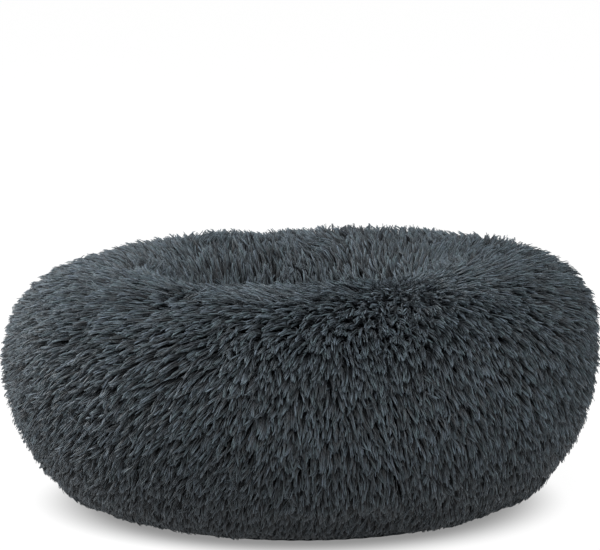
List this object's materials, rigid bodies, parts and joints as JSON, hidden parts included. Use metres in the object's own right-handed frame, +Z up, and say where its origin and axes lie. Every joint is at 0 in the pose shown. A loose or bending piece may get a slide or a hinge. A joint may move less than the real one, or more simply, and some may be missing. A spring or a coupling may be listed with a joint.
{
  "type": "pet cushion bed",
  "caption": "Round shaggy pet bed: a stuffed fur ring around a sunken seat cushion, on a flat non-slip base with a zip across its underside.",
  "frame": {"origin": "middle of the base, on the surface the bed stands on", "axes": "+Z up; -Y the front, +X to the right seen from the front, with the zip along X across the underside and its closed end at +X"},
  "size_m": [0.5, 0.5, 0.205],
  "materials": {
    "rim_fur": "matte",
    "seat_fur": "matte",
    "base_cloth": "matte",
    "wadding": "matte",
    "binding_tape": "matte",
    "seam_thread": "matte",
    "liner_cloth": "matte",
    "liner_thread": "matte",
    "fibre_fill": "matte",
    "zip_tape": "matte",
    "zip_coil": "satin",
    "zip_metal": "satin",
    "label_satin": "satin"
  },
  "bodies": {
    "bed": {"rim_cover": "rim_fur", "seat_cover": "seat_fur", "base_panel_front": "base_cloth", "base_panel_back": "base_cloth", "base_wadding_front": "wadding", "base_wadding_back": "wadding", "base_binding": "binding_tape", "seat_seam_thread": "seam_thread", "rim_liner_upper": "liner_cloth", "rim_liner_lower": "liner_cloth", "rim_liner_outer_seam": "liner_thread", "rim_liner_inner_seam": "liner_thread", "rim_fill": "fibre_fill", "seat_liner_top": "liner_cloth", "seat_liner_bottom": "liner_cloth", "seat_liner_seam": "liner_thread", "seat_fill": "fibre_fill", "zip_tape_front": "zip_tape", "zip_tape_back": "zip_tape", "zip_coil_front": "zip_coil", "zip_coil_back": "zip_coil", "zip_closed_end_stop": "zip_metal", "zip_open_end_stop": "zip_metal", "care_label": "label_satin"},
    "zip_slider": {"zip_slider": "zip_metal"},
    "zip_pull": {"zip_pull": "zip_metal"}
  },
  "joints": [
    {"name": "zip_slide", "type": "slide", "parent": "bed", "child": "zip_slider", "axis": [-1, 0, 0], "range_m": [0, 0.195]},
    {"name": "pull_swing", "type": "hinge", "parent": "zip_slider", "child": "zip_pull", "pos_m": [0.1053, 0, 0.0014], "axis": [0, 1, 0], "range_deg": [0, 150]}
  ]
}
